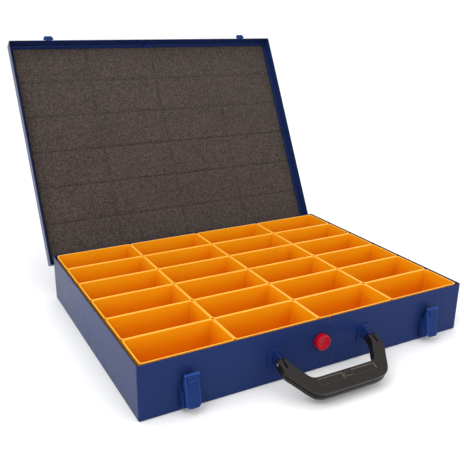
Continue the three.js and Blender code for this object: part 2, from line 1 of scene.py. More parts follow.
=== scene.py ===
# %% [markdown]
# # A steel case for sorting small parts
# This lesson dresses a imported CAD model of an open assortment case: a pressed steel pan and lid,
# 24 lift-out bins, a foam sheet in the lid, two rocker latches, a push-button lock and a drop handle.
# The CAD says where everything is. Here each piece gets the shape of its edges and its finish.

# %% Load the frame
import json
import math

import bmesh
import bpy
from mathutils import Matrix, Vector, noise


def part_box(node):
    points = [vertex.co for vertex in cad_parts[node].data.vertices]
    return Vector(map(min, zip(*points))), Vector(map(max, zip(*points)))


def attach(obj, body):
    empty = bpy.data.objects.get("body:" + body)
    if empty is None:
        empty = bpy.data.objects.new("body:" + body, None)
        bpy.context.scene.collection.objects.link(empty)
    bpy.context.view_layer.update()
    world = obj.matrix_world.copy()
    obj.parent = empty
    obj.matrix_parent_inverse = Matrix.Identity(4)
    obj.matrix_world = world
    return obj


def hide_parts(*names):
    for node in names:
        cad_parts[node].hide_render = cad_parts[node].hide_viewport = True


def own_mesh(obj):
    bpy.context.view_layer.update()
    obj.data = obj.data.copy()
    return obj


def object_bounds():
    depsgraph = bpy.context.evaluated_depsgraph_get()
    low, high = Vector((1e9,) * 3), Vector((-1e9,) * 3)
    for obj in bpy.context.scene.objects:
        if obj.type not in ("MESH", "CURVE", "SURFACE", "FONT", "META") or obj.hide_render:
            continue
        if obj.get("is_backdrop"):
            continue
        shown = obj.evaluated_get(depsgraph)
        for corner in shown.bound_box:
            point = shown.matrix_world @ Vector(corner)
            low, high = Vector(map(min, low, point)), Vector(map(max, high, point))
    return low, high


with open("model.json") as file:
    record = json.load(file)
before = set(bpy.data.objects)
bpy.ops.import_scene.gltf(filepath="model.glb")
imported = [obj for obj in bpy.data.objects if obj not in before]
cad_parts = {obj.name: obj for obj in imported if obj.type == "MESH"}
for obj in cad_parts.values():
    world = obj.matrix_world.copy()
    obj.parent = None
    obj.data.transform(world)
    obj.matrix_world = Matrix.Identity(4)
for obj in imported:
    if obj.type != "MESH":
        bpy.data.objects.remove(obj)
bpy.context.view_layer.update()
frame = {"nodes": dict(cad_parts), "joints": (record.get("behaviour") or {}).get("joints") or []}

MM = 0.001

# %% [markdown]
# ## Where the pieces are
# Positions are read from the CAD, never typed twice. The lid stands open in the frame, but it is far
# easier to model a lid that lies flat. So every lid piece is made as if the case were shut, and one
# matrix, built from the hinge's own position and range, swings it open at the end.

# %% The hinge and the open lid
joints = {joint["name"]: joint for joint in frame["joints"]}
HINGE = Vector(joints["lid_hinge"]["pos_m"])
OPEN_ANGLE = -math.radians(joints["lid_hinge"]["range_deg"][1])


def turn_about_x(centre, angle):
    """A turn about a line along X through centre."""
    return Matrix.Translation(centre) @ Matrix.Rotation(angle, 4, "X") @ Matrix.Translation(-centre)


OPEN_LID = turn_about_x(HINGE, OPEN_ANGLE)


def shut_box(node):
    """Lowest and highest corner of one of the lid's CAD nodes, with the lid swung shut."""
    back = OPEN_LID.inverted()
    points = [back @ vertex.co for vertex in frame["nodes"][node].data.vertices]
    low = Vector(min(p[i] for p in points) for i in range(3))
    high = Vector(max(p[i] for p in points) for i in range(3))
    return low, high


PAN_LOW, PAN_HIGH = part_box("base_shell")
LID_LOW, LID_HIGH = shut_box("lid_shell")
FRONT = PAN_LOW.y
print("Pan, mm:", [round(v / MM, 1) for v in PAN_HIGH - PAN_LOW])
print("Lid, mm:", [round(v / MM, 1) for v in LID_HIGH - LID_LOW])

# %% [markdown]
# ## Shader maths in plain Python
# A material in Blender is a graph of nodes. Wiring Math nodes by hand hides the idea, so `Wire` wraps
# one socket and lets `+`, `-` and `*` add the nodes. `Finish` starts from a Principled shader, and its
# one method `node` makes any other node from its type, its settings and its sockets.

# %% Wire and Finish
class Wire:
    """An output socket that Python's operators can work on."""

    def __init__(self, finish, socket):
        self.finish = finish
        self.socket = socket

    def math(self, operation, *values):
        return self.finish.node("ShaderNodeMath", {"operation": operation}, dict(enumerate(values)))

    def __add__(self, other):
        return self.math("ADD", self, other)

    def __sub__(self, other):
        return self.math("SUBTRACT", self, other)

    def __mul__(self, other):
        return self.math("MULTIPLY", self, other)

    def __rsub__(self, other):
        return self.math("SUBTRACT", other, self)

    __radd__ = __add__
    __rmul__ = __mul__


class Finish:
    """A material built round one Principled shader. Constants go on the shader's own sockets."""

    def __init__(self, name, **constants):
        self.material = bpy.data.materials.new(name)
        self.material.use_nodes = True
        self.tree = self.material.node_tree
        self.shader = self.tree.nodes["Principled BSDF"]
        for socket, value in constants.items():
            self.shader.inputs[socket.replace("_", " ")].default_value = value
        self.place = self.node("ShaderNodeTexCoord", output="Object")

    def node(self, kind, settings=None, sockets=None, output=0):
        made = self.tree.nodes.new(kind)
        for key, value in (settings or {}).items():
            setattr(made, key, value)
        for key, value in (sockets or {}).items():
            if isinstance(value, Wire):
                self.tree.links.new(value.socket, made.inputs[key])
            else:
                made.inputs[key].default_value = value
        return Wire(self, made.outputs[output])

    def noise(self, size, detail=2.0, place=None):
        """Smooth noise from 0 to 1, with features of about this size in metres."""
        sockets = {"Vector": place or self.place, "Scale": 1 / size, "Detail": detail}
        return self.node("ShaderNodeTexNoise", None, sockets)

    def stretched(self, scale):
        """Object coordinates stretched along the axes, for brushed and streaked finishes."""
        return self.node("ShaderNodeMapping", None, {"Vector": self.place, "Scale": scale})

    def between(self, wire, low, high):
        """0 below low, 1 above high and a smooth step between them."""
        settings = {"interpolation_type": "SMOOTHSTEP"}
        return self.node("ShaderNodeMapRange", settings, {"Value": wire, "From Min": low, "From Max": high})

    def mix(self, factor, a, b):
        return self.node("ShaderNodeMix", {"data_type": "RGBA"}, {0: factor, 6: a, 7: b}, output=2)

    def light_paint(self):
        """How much painted light each face is marked with, from 0 to 1: highlight or shade, as the finish
        uses it.
        """
        return self.node("ShaderNodeAttribute", {"attribute_name": "painted_light"}, output="Fac")

    def feed(self, **wires):
        for socket, wire in wires.items():
            self.tree.links.new(wire.socket, self.shader.inputs[socket.replace("_", " ")])

    def bump(self, height, depth):
        """Relief of this depth in metres, as a normal."""
        relief = self.node("ShaderNodeBump", None, {"Height": height, "Distance": depth, "Strength": 1.0})
        self.feed(Normal=relief)


def colour(red, green, blue):
    """A linear colour from the 0 to 255 values a paint chart gives."""
    shares = [value / 255 for value in (red, green, blue)]
    return (*[((v + 0.055) / 1.055) ** 2.4 if v > 0.04 else v / 12.92 for v in shares], 1.0)


def shade(tint, by):
    """The same colour, lighter or darker."""
    return (*[min(v * by, 1.0) for v in tint[:3]], 1.0)


print("Shader helpers ready")

# %% [markdown]
# ## The finishes
# Stove enamel is not flat: it flows to a faint orange peel while it bakes, its gloss varies a little
# from place to place, and fine dust settles in it. All of that is small noise on colour, roughness
# and normal. The case and its fittings are the same paint from two batches. The fittings' rolled
# edges get a painted highlight, a lighter blue on the faces that the pieces mark in a face attribute.

# %% Stove enamel
def enamel(name, tint, roughness, peel):
    finish = Finish(name, IOR=1.38, Specular_IOR_Level=0.1)
    cloud = finish.noise(0.09, 3)
    speck = finish.between(finish.noise(0.0011, 1), 0.74, 0.8)
    flow = finish.noise(0.0016, 2)
    # Painted highlight: marked faces turn a lighter blue, standing in for glints on rolled edges.
    edge_highlight = finish.light_paint() * (0.3 + finish.noise(0.0025, 2) * 1.1)
    base = finish.mix(cloud, shade(tint, 0.88), shade(tint, 1.14))
    base = finish.mix(edge_highlight, base, shade(tint, 2.4))
    finish.feed(Base_Color=finish.mix(speck * 0.3, base, shade(tint, 2.2)))
    finish.feed(Roughness=roughness - 0.05 + cloud * 0.1 + speck * 0.2)
    finish.bump(flow, peel)
    return finish


case_enamel = enamel("case_enamel", colour(29, 45, 91), 0.26, 0.00004)
fitting_enamel = enamel("fitting_enamel", colour(26, 47, 101), 0.2, 0.00003)

# %% [markdown]
# The bins are moulded in a dense orange-yellow plastic, and light travels a little way into its thin wall.
# The colour is painted deeper orange low down as painted shade, paler towards the top as painted light,
# with a painted highlight on the rim. The rim sits at a known height, so a smooth step on
# the height paints it, and fine noise breaks up the gloss like a mould's surface does.

# %% Bin plastic
BIN_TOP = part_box("insert_bin_r1c1")[1].z


def bin_plastic():
    finish = Finish(
        "bin_plastic", Subsurface_Weight=0.12, Subsurface_Scale=0.004, IOR=1.46, Specular_IOR_Level=0.3,
    )
    finish.shader.inputs["Subsurface Radius"].default_value = (1.0, 0.35, 0.05)
    height = finish.node("ShaderNodeSeparateXYZ", None, {0: finish.place}, output="Z")
    # Painted highlight: a paler band along the top of the rim.
    rim = finish.between(height, BIN_TOP - 1.2 * MM, BIN_TOP - 0.1 * MM)
    cloud = finish.noise(0.05, 3)
    # Painted shade and light: deeper orange low in the bin, paler towards the top.
    deep = finish.mix(cloud, colour(229, 128, 0), colour(236, 138, 0))
    pale = finish.mix(cloud, colour(238, 156, 2), colour(244, 164, 8))
    body = finish.mix(finish.between(height, BIN_TOP - 26 * MM, BIN_TOP - 2 * MM), deep, pale)
    finish.feed(Base_Color=finish.mix(rim, body, colour(255, 182, 62)))
    grain = finish.noise(0.0009, 2)
    finish.feed(Roughness=0.34 + finish.noise(0.012, 2) * 0.12)
    finish.bump(grain, 0.00002)
    return finish


bin_finish = bin_plastic()

# %% [markdown]
# Open-cell foam is a mass of tiny torn bubbles. Its look is a sparkle of pale cell walls on dark
# pores. A Voronoi texture makes the cells: its distance hollows each one out, and its random colour
# says how much light the torn wall happens to catch. A little noise clumps them. Where a face
# attribute says that rims have pressed the foam, the colour is darker: shut cells, and painted shade in the
# dents.

# %% Foam
CELL = 1.5 * MM


def foam_finish():
    finish = Finish("foam_sheet", IOR=1.3, Specular_IOR_Level=0.15, Sheen_Weight=0.06, Sheen_Roughness=0.6)
    settings, sockets = {"feature": "F1"}, {"Vector": finish.place, "Scale": 1 / CELL}
    hollow = finish.node("ShaderNodeTexVoronoi", settings, sockets, output="Distance")
    chance = finish.node("ShaderNodeTexVoronoi", settings, sockets, output="Color")
    facing = finish.node("ShaderNodeSeparateXYZ", None, {0: chance}, output="X")
    cloud = finish.noise(0.06, 3)
    clump = finish.noise(0.0032, 2)
    pores = finish.mix(cloud, colour(30, 25, 22), colour(36, 30, 28))
    dull = finish.mix(cloud, colour(41, 35, 32), colour(48, 42, 39))
    bright = finish.mix(cloud, colour(80, 71, 67), colour(92, 82, 77))
    walls = finish.mix(facing * 0.75 + clump * 0.6 - 0.18, dull, bright)
    surface = finish.mix(finish.between(hollow, 0.08, 0.42), pores, walls)
    # Darker in the dents: the shut cells of pressed foam, and painted shade in the hollows.
    shut_cells_and_dent_shade = finish.light_paint() * (finish.noise(0.03, 2) * 0.9 - 0.2)
    finish.feed(Base_Color=finish.mix(shut_cells_and_dent_shade, surface, colour(33, 27, 24)))
    finish.feed(Roughness=0.86 + cloud * 0.12)
    finish.bump(hollow * 0.6 + clump * 0.4, 0.0006)
    return finish


foam_sheet = foam_finish()

# %% [markdown]
# The handle and the button are moulded plastics, one satin with a fine spark-eroded grain, one
# glossy. The zinc-plated steel of the pins keeps faint drawing lines, so its noise is stretched.

# %% Plastics and bare metals
def moulded(name, tint, roughness, grain_size, grain_depth, light_paint=None):
    finish = Finish(name, IOR=1.48, Specular_IOR_Level=0.27)
    cloud = finish.noise(0.02, 3)
    surface = finish.mix(cloud, shade(tint, 0.86), shade(tint, 1.2))
    gloss = roughness - 0.06 + finish.noise(0.006, 2) * 0.12
    # Painted highlight: marked faces turn towards the paler colour and get glossier.
    if light_paint:
        edge_highlight = finish.light_paint() * (0.35 + finish.noise(0.004, 2) * 0.9)
        surface = finish.mix(edge_highlight, surface, light_paint)
        gloss = gloss - edge_highlight * 0.1
    finish.feed(Base_Color=surface, Roughness=gloss)
    finish.bump(finish.noise(grain_size, 2), grain_depth)
    return finish


def plated(name, tint, roughness):
    finish = Finish(name, Metallic=1.0)
    lines = finish.noise(0.0006, 3, place=finish.stretched((0.06, 1.0, 1.0)))
    finish.feed(Base_Color=finish.mix(lines, shade(tint, 0.8), shade(tint, 1.1)))
    finish.feed(Roughness=roughness - 0.08 + lines * 0.16)
    finish.bump(lines, 0.00001)
    return finish


# The last colour is the painted highlight on the handle's marked edges.
handle_plastic = moulded(
    "handle_plastic", colour(24, 19, 16), 0.34, 0.0007, 0.00005, light_paint=colour(96, 88, 81),
)
button_plastic = moulded("button_plastic", colour(168, 4, 30), 0.28, 0.0012, 0.00001)
zinc_plate = plated("zinc_plate", colour(200, 202, 205), 0.28)
spring_wire = plated("spring_wire", colour(150, 152, 156), 0.34)
finishes = (case_enamel, fitting_enamel, bin_finish, foam_sheet,
            handle_plastic, button_plastic, zinc_plate, spring_wire)
print("Finishes:", [finish.material.name for finish in finishes])

# %% [markdown]
# ## Helpers for pieces
# A finished piece is a mesh whose place is in its vertices, riding on a body, standing for the CAD
# node it improves on. `bar` is the workhorse for bent strip: a few points drawn in a plane become a
# face, and an extrude gives it length. `roll_edges` rounds edges and can mark them for painted light.

# %% Piece helpers
def finished(name, bm, body, finish, pose=None, smooth=35):
    """Turns a bmesh into a piece, puts it in its pose, hangs it on its body and hides the CAD node it stands
    for.
    """
    if pose:
        bmesh.ops.transform(bm, matrix=pose, verts=bm.verts)
    mesh = bpy.data.meshes.new(name)
    bm.to_mesh(mesh)
    bm.free()
    mesh.shade_smooth()
    mesh.set_sharp_from_angle(angle=math.radians(smooth))
    mesh.materials.append(finish.material)
    piece = bpy.data.objects.new(name, mesh)
    bpy.context.scene.collection.objects.link(piece)
    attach(piece, body)
    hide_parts(name.removesuffix("_finished"))
    return piece


def level_normals(piece):
    """Keeps broad flat faces flat where small bevels meet them."""
    modifier = piece.modifiers.new("flat faces stay flat", "WEIGHTED_NORMAL")
    modifier.keep_sharp = True


def painted_light_layer(bm):
    """The face attribute that marks painted light. Adding it makes earlier references to faces stale, so it
    comes first.
    """
    return bm.faces.layers.float.get("painted_light") or bm.faces.layers.float.new("painted_light")


def painted_light(bm, faces, amount):
    """Marks faces for painted light, a painted highlight or painted shade, for the finishes to show."""
    layer = painted_light_layer(bm)
    for face in faces:
        face[layer] = amount


def roll_edges(bm, edges, width, segments=3, light_paint=0.0):
    painted_light_layer(bm)
    rolled = bmesh.ops.bevel(
        bm, geom=list(edges), offset=width, offset_type="OFFSET", segments=segments,
        profile=0.5, affect="EDGES", material=-1, clamp_overlap=True,
    )["faces"]
    # The rolled faces get this much painted light.
    painted_light(bm, rolled, light_paint)


def sharp_edges(bm, degrees=30):
    bm.normal_update()
    limit = math.radians(degrees)
    return [e for e in bm.edges if len(e.link_faces) == 2 and e.calc_face_angle(0) > limit]


def bar(points, low, high, axis="X", bm=None):
    """Extrudes an outline along X, where its points are (y, z), or along Z, where they are (x, y)."""
    bm = bm or bmesh.new()
    upright = axis == "Z"
    corners = [(a, b, low) if upright else (low, a, b) for a, b in points]
    step = (0, 0, high - low) if upright else (high - low, 0, 0)
    first = bm.faces.new([bm.verts.new(corner) for corner in corners])
    made = bmesh.ops.extrude_face_region(bm, geom=[first], use_keep_orig=True)["geom"]
    grown = [v for v in made if isinstance(v, bmesh.types.BMVert)]
    bmesh.ops.translate(bm, vec=step, verts=grown)
    bmesh.ops.recalc_face_normals(bm, faces=bm.faces)
    return bm


def rod(centre, radius, length, bm=None):
    """A closed cylinder along X, about centre."""
    bm = bm or bmesh.new()
    bmesh.ops.create_cone(
        bm, cap_ends=True, segments=28, radius1=radius, radius2=radius, depth=length,
        matrix=Matrix.Translation(centre) @ Matrix.Rotation(math.pi / 2, 4, "Y"),
    )
    return bm


def eased_copy(node, width):
    """A copy of a CAD node with its doubles merged, its flats joined and its sharp edges rolled over."""
    bm = bmesh.new()
    bm.from_mesh(frame["nodes"][node].data)
    bmesh.ops.remove_doubles(bm, verts=bm.verts, dist=1e-6)
    bmesh.ops.dissolve_limit(bm, angle_limit=math.radians(0.5), verts=bm.verts, edges=bm.edges)
    roll_edges(bm, sharp_edges(bm, 35), width, 2)
    return bm


print("Piece helpers ready")

# %% [markdown]
# ## The pan and the lid
# Both are trays of 0.8 mm sheet. A cube without its top, with its folds rolled over, is the outside
# skin; Solidify then gives it the sheet's thickness inwards. That keeps the bends the same
# thickness as the walls, as a press brake does.

# %% A pressed tray
SHEET = 0.8 * MM
RAW_EDGE = 0.22 * MM  # roundness of a cut edge
PAN_BEND = 1.6 * MM
LID_BEND = 2.4 * MM


def tray(width, depth, height, bend):
    bm = bmesh.new()
    bmesh.ops.create_cube(
        bm, size=1, matrix=Matrix.Translation((0, 0, height / 2)) @ Matrix.Diagonal((width, depth, height, 1))
    )
    top = max(bm.faces, key=lambda face: face.calc_center_median().z)
    bmesh.ops.delete(bm, geom=[top], context="FACES_ONLY")
    roll_edges(bm, [e for e in bm.edges if len(e.link_faces) == 2], bend, 4)
    return bm


def give_thickness(piece):
    """Sheet thickness inwards, and the raw edge's small roundness."""
    solid = piece.modifiers.new("sheet", "SOLIDIFY")
    solid.thickness = SHEET
    solid.offset = -1
    solid.use_even_offset = True
    soft = piece.modifiers.new("raw edge", "BEVEL")
    soft.width = RAW_EDGE
    soft.segments = 2
    soft.limit_method = "ANGLE"
    soft.angle_limit = math.radians(60)
    level_normals(piece)


# %% [markdown]
# The front wall has an L-shaped slit where the lock's nose comes through, and a hole for the
# button's stem. `bisect_plane` scores the wall along straight lines, and the faces between the lines
# are deleted while the wall still has no thickness.

# %% Pan
# The slit's level leg runs from the first x to the last, and its upright leg between the last two.
SLIT_X = (-2.0 * MM, 12.5 * MM, 13.8 * MM)
SLIT_Z = (PAN_HIGH.z - 10.2 * MM, PAN_HIGH.z - 8.8 * MM)
BUTTON_LOW, BUTTON_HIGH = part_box("lock_button")
BUTTON = (BUTTON_LOW + BUTTON_HIGH) / 2
STEM_HOLE = 1.8 * MM


def front_faces(bm):
    bm.normal_update()
    return [face for face in bm.faces if face.normal.y < -0.99]


def score(bm, x=None, z=None):
    wall = front_faces(bm)
    parts = set(wall) | {e for f in wall for e in f.edges} | {v for f in wall for v in f.verts}
    point = (x or 0, FRONT, z or 0)
    normal = (1, 0, 0) if x is not None else (0, 0, 1)
    bmesh.ops.bisect_plane(bm, geom=list(parts), plane_co=point, plane_no=normal, dist=1e-7)


def pan():
    size = PAN_HIGH - PAN_LOW
    bm = tray(size.x, size.y, size.z, PAN_BEND)
    for x in (*SLIT_X, -STEM_HOLE, STEM_HOLE):
        score(bm, x=x)
    for z in (*SLIT_Z, BUTTON.z - STEM_HOLE, BUTTON.z + STEM_HOLE):
        score(bm, z=z)
    open_faces = []
    for face in front_faces(bm):
        x, _, z = face.calc_center_median()
        level = SLIT_X[0] < x < SLIT_X[2] and SLIT_Z[0] < z < SLIT_Z[1]
        upright = SLIT_X[1] < x < SLIT_X[2] and z > SLIT_Z[1]
        if level or upright:
            open_faces.append(face)
        if abs(x) < STEM_HOLE and abs(z - BUTTON.z) < STEM_HOLE:
            stem = face
    ring = bmesh.ops.subdivide_edges(bm, edges=stem.edges, cuts=3)["geom_inner"]
    ring = {v for v in ring if isinstance(v, bmesh.types.BMVert)} | set(stem.verts)
    bmesh.ops.delete(bm, geom=[*open_faces, stem], context="FACES")
    for vertex in ring:
        offset = vertex.co - Vector((0, FRONT, BUTTON.z))
        vertex.co = Vector((0, FRONT, BUTTON.z)) + offset.normalized() * STEM_HOLE
    return bm


base = finished("base_shell_finished", pan(), "base", case_enamel)
give_thickness(base)


def lid():
    size = LID_HIGH - LID_LOW
    bm = tray(size.x, size.y, size.z, LID_BEND)
    flip = Matrix.Translation((0, 0, LID_HIGH.z)) @ Matrix.Rotation(math.pi, 4, "X")
    bmesh.ops.transform(bm, matrix=flip, verts=bm.verts)
    return bm


lid_piece = finished("lid_shell_finished", lid(), "lid", case_enamel, pose=OPEN_LID)
give_thickness(lid_piece)
print("Pan and lid:", len(base.data.polygons), "and", len(lid_piece.data.polygons), "faces before thickness")

# %% [markdown]
# ## The bins
# An injection-moulded bin tapers so that it leaves its mould, and no inside corner is sharp. One
# bin is shaped with bmesh operators and copied 24 times, each copy moved in its mesh.

# %% Bins
BIN_WALL = 1.4 * MM
BIN_DRAFT = 1.6 * MM
BIN_CORNER = 4 * MM
BIN_FOOT = 2.2 * MM  # roundness between floor and walls
BIN_LIP = 0.45 * MM


def moulded_bin(low, high):
    size = high - low
    bm = bmesh.new()
    bmesh.ops.create_cube(bm, size=1, matrix=Matrix.Diagonal((*size, 1)))
    for vertex in bm.verts:
        if vertex.co.z < 0:
            vertex.co.x -= math.copysign(BIN_DRAFT, vertex.co.x)
            vertex.co.y -= math.copysign(BIN_DRAFT, vertex.co.y)
    top = max(bm.faces, key=lambda face: face.calc_center_median().z)
    bmesh.ops.delete(bm, geom=[top], context="FACES_ONLY")
    corners = [e for e in bm.edges if abs(e.verts[0].co.z - e.verts[1].co.z) > size.z / 2]
    roll_edges(bm, corners, BIN_CORNER, 5)
    floor_face = min(bm.faces, key=lambda face: face.calc_center_median().z)
    roll_edges(bm, floor_face.edges, BIN_FOOT, 4)
    bmesh.ops.recalc_face_normals(bm, faces=bm.faces)
    if min(bm.faces, key=lambda face: face.calc_center_median().z).normal.z > 0:
        bmesh.ops.reverse_faces(bm, faces=bm.faces)
    bmesh.ops.solidify(bm, geom=bm.faces, thickness=BIN_WALL)
    bm.normal_update()
    rim = [e for e in sharp_edges(bm, 60) if min(v.co.z for v in e.verts) > size.z / 2 - 0.1 * MM]
    roll_edges(bm, rim, BIN_LIP, 3)
    return bm


bin_nodes = sorted(name for name in frame["nodes"] if name.startswith("insert_bin"))
template = moulded_bin(*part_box(bin_nodes[0]))
for node in bin_nodes:
    low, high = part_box(node)
    copy = template.copy()
    bmesh.ops.translate(copy, vec=(low + high) / 2, verts=copy.verts)
    body = node.replace("insert_bin", "bin")
    level_normals(finished(node + "_finished", copy, body, bin_finish))
print("Bins:", len(bin_nodes), "of", len(template.faces), "faces")
print("One bin, mm:", [round(v / MM, 1) for v in high - low])
template.free()

# %% [markdown]
# ## The foam sheet
# The bins' rims press into the foam each time the lid is shut, and leave a grid of dents. A fine
# grid is the foam's face, and each point sinks by how near it lies to a rim. Slow noise gives the
# sheet the slight waviness that glue leaves, and its cut edge slopes back to the lid.

# %% Foam in the lid
FOAM_LOW, FOAM_HIGH = shut_box("lid_foam")
FOAM_GRID = (250, 184)
DENT_DEPTH = 1.3 * MM
DENT_WIDTH = 1.5 * MM
WAVE = 0.12 * MM
CUT_EDGE = 1.6 * MM  # how far in from its edge the sheet slopes
CUT_DROP = 0.9 * MM
columns = sorted({round(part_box(node)[0].x, 5) for node in bin_nodes})[1:]
rows = sorted({round(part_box(node)[0].y, 5) for node in bin_nodes})[1:]


def pressed(x, y):
    """How hard the rims press at a point, from 0 to 1."""
    across = min(abs(x - c) for c in columns)
    along = min(abs(y - r) for r in rows)
    return max(0.9 * math.exp(-((across / DENT_WIDTH) ** 2)), math.exp(-((along / DENT_WIDTH) ** 2)))


def foam():
    size = FOAM_HIGH - FOAM_LOW
    centre = (FOAM_LOW + FOAM_HIGH) / 2
    bm = bmesh.new()
    bmesh.ops.create_grid(
        bm, x_segments=FOAM_GRID[0], y_segments=FOAM_GRID[1], size=0.5,
        matrix=Matrix.Translation((centre.x, centre.y, FOAM_LOW.z)) @ Matrix.Diagonal((size.x, size.y, 1, 1)),
    )
    bmesh.ops.reverse_faces(bm, faces=bm.faces)
    for vertex in bm.verts:
        x, y = vertex.co.x, vertex.co.y
        wave = noise.noise(Vector((x, y, 0)) * 14) * WAVE + WAVE
        edge = min(x - FOAM_LOW.x, FOAM_HIGH.x - x, y - FOAM_LOW.y, FOAM_HIGH.y - y)
        slope = max(0.0, 1 - edge / CUT_EDGE) ** 2
        vertex.co.z += pressed(x, y) * DENT_DEPTH + wave + slope * CUT_DROP
    # The face attribute marks the dents for their darker colour, partly painted shade.
    layer = painted_light_layer(bm)
    for face in bm.faces:
        face[layer] = pressed(*face.calc_center_median().xy)
    rim = [e for e in bm.edges if e.is_boundary]
    made = bmesh.ops.extrude_edge_only(bm, edges=rim)["geom"]
    back = [v for v in made if isinstance(v, bmesh.types.BMVert)]
    for vertex in back:
        vertex.co.z = FOAM_HIGH.z
    bmesh.ops.contextual_create(bm, geom=[e for e in bm.edges if e.is_boundary])
    bmesh.ops.recalc_face_normals(bm, faces=bm.faces)
    return bm


foam_piece = finished("lid_foam_finished", foam(), "lid", foam_sheet, pose=OPEN_LID, smooth=50)
print("Foam:", len(foam_piece.data.polygons), "faces; mm", [round(v / MM, 1) for v in FOAM_HIGH - FOAM_LOW])

# %% [markdown]
# ## Latches
# Each latch is a folded lever that rocks on a pin through the bracket's ears, with a claw hung from
# the lever's top. The lever is drawn latched and then rocked, like the lid, with a matrix taken from
# its joint. A folded channel starts as one strip: its side edges are extruded back into cheeks.

# %% Latch poses
def out(distance, height):
    """(y, z) of a point this far in front of the pan's front face."""
    return FRONT - distance, height


def joint_point(name):
    return Vector(joints[name]["pos_m"])


LEVER_PIN = joint_point("lever_rock_left")
LEVER_ROCK = -math.radians(joints["lever_rock_left"]["range_deg"][1])
claw_at_rest = joint_point("claw_swing_left")
rest_lever = turn_about_x(Vector((0, LEVER_PIN.y, LEVER_PIN.z)), LEVER_ROCK)
CLAW_PIN = rest_lever.inverted() @ Vector((0, claw_at_rest.y, claw_at_rest.z))
print("Claw pin when latched, mm:", round((FRONT - CLAW_PIN.y) / MM, 2), round(CLAW_PIN.z / MM, 2))

# %% Lever
LEVER_HALF = 8.5 * MM
LEVER_SHEET = 1 * MM
PLATE_FACE = FRONT - CLAW_PIN.y - 0.3 * MM + LEVER_SHEET  # front of the lever's plate, out from the pan
CLAW_HALF = 5.2 * MM
KNUCKLE_RADIUS = 1.7 * MM
KNUCKLE_BORE = 1.15 * MM


def lever(x):
    # Height, half width, how far the plate bows out and the depth of the cheeks behind it, in mm.
    stations = [(8.0, 5.9, 1.5, 1.0), (9.2, 7.3, 1.2, 1.2), (11.0, 8.3, 0.7, 1.6), (13.5, 8.5, 0.2, 2.4),
                (16.0, 8.5, 0.0, 4.0), (18.8, 8.5, 0.0, 7.6), (21.0, 8.5, 0.0, 9.4), (27.0, 8.5, 0.0, 9.4),
                (30.0, 8.5, 0.0, 7.9), (36.0, 8.5, 0.0, 5.0), (40.2, 8.5, 0.0, 3.2), (41.4, 7.6, 0.2, 2.6)]
    bm = bmesh.new()
    bmesh.ops.create_grid(bm, x_segments=1, y_segments=len(stations) - 1, size=1)
    levels = sorted({round(v.co.y, 5) for v in bm.verts})
    for vertex in bm.verts:
        height, half, bow, _ = stations[levels.index(round(vertex.co.y, 5))]
        side = math.copysign(half * MM, vertex.co.x)
        vertex.co = Vector((side, FRONT - PLATE_FACE - bow * MM, height * MM))
    folds = [e for e in bm.edges if e.is_boundary and e.verts[0].co.x * e.verts[1].co.x > 0]
    made = bmesh.ops.extrude_edge_only(bm, edges=folds)["geom"]
    for vertex in (v for v in made if isinstance(v, bmesh.types.BMVert)):
        depth = min(stations, key=lambda s: abs(s[0] * MM - vertex.co.z))[3]
        vertex.co.y = FRONT - PLATE_FACE + depth * MM
    bmesh.ops.recalc_face_normals(bm, faces=bm.faces)
    face = max(bm.faces, key=lambda f: -f.calc_center_median().y)
    if face.normal.y > 0:
        bmesh.ops.reverse_faces(bm, faces=bm.faces)
    # Painted highlight on the lever's rolled folds.
    roll_edges(bm, folds, 1.7 * MM, 5, light_paint=0.35)
    bmesh.ops.solidify(bm, geom=bm.faces, thickness=LEVER_SHEET)
    for side in (-1, 1):
        inner = (CLAW_HALF + 0.3 * MM) * side
        outer = LEVER_HALF * side
        knuckle(bm, (inner + outer) / 2, abs(outer - inner), CLAW_PIN.y, CLAW_PIN.z)
    bmesh.ops.translate(bm, vec=(x, 0, 0), verts=bm.verts)
    return bm


def knuckle(bm, x, length, y, z):
    """A rolled eye: a square section spun round the pin's axis."""
    half, radius, ease = length / 2, KNUCKLE_RADIUS, 0.25 * MM
    corners = [(-half, KNUCKLE_BORE), (half, KNUCKLE_BORE), (half, radius - ease), (half - ease, radius),
               (-half + ease, radius), (-half, radius - ease)]
    ring = bm.faces.new([bm.verts.new((x + a, y, z + r)) for a, r in corners])
    bmesh.ops.spin(
        bm, geom=[ring, *ring.edges, *ring.verts], axis=(1, 0, 0), cent=(x, y, z),
        angle=2 * math.pi, steps=20, use_merge=True, use_duplicate=False,
    )
    bmesh.ops.delete(bm, geom=[ring], context="FACES_ONLY")
    new = {v for v in bm.verts
           if math.hypot(v.co.y - y, v.co.z - z) < radius + 0.01 * MM and abs(v.co.x - x) <= half + 1e-6}
    bmesh.ops.remove_doubles(bm, verts=list(new), dist=1e-6)
    faces = list({f for v in new for f in v.link_faces})
    bmesh.ops.recalc_face_normals(bm, faces=faces)
    # Painted highlight on every knuckle.
    painted_light(bm, faces, 0.8)


# %% [markdown]
# The claw hangs head down while the case is open. It is a short strip rolled round its own pin at one
# end and turned over at the other, so its outline is drawn once and extruded to its width.

# %% Claw, bracket and keeper
def claw(x):
    """Drawn as it hangs, in front of the lever's plate."""
    y, z = CLAW_PIN.y, CLAW_PIN.z
    drawn = [(-1.2, -0.6), (-1.2, -6.9), (-1.7, -7.1), (-4.0, -7.1), (-4.0, -6.1),
             (-2.5, -6.1), (-2.2, -5.8), (-2.2, 0.2), (-1.8, 0.6)]
    bm = bar([(y + a * MM, z + b * MM) for a, b in drawn], -CLAW_HALF, CLAW_HALF)
    # Painted highlight on the claw's edges.
    roll_edges(bm, sharp_edges(bm, 40), 0.25 * MM, 3, light_paint=0.8)
    knuckle(bm, 0, 2 * CLAW_HALF, y, z)
    bmesh.ops.translate(bm, vec=(x, 0, 0), verts=bm.verts)
    return bm


def arc(centre_a, centre_b, radius, start, end, steps):
    angles = [math.radians(start + (end - start) * k / steps) for k in range(steps + 1)]
    return [(centre_a + radius * math.cos(a), centre_b + radius * math.sin(a)) for a in angles]


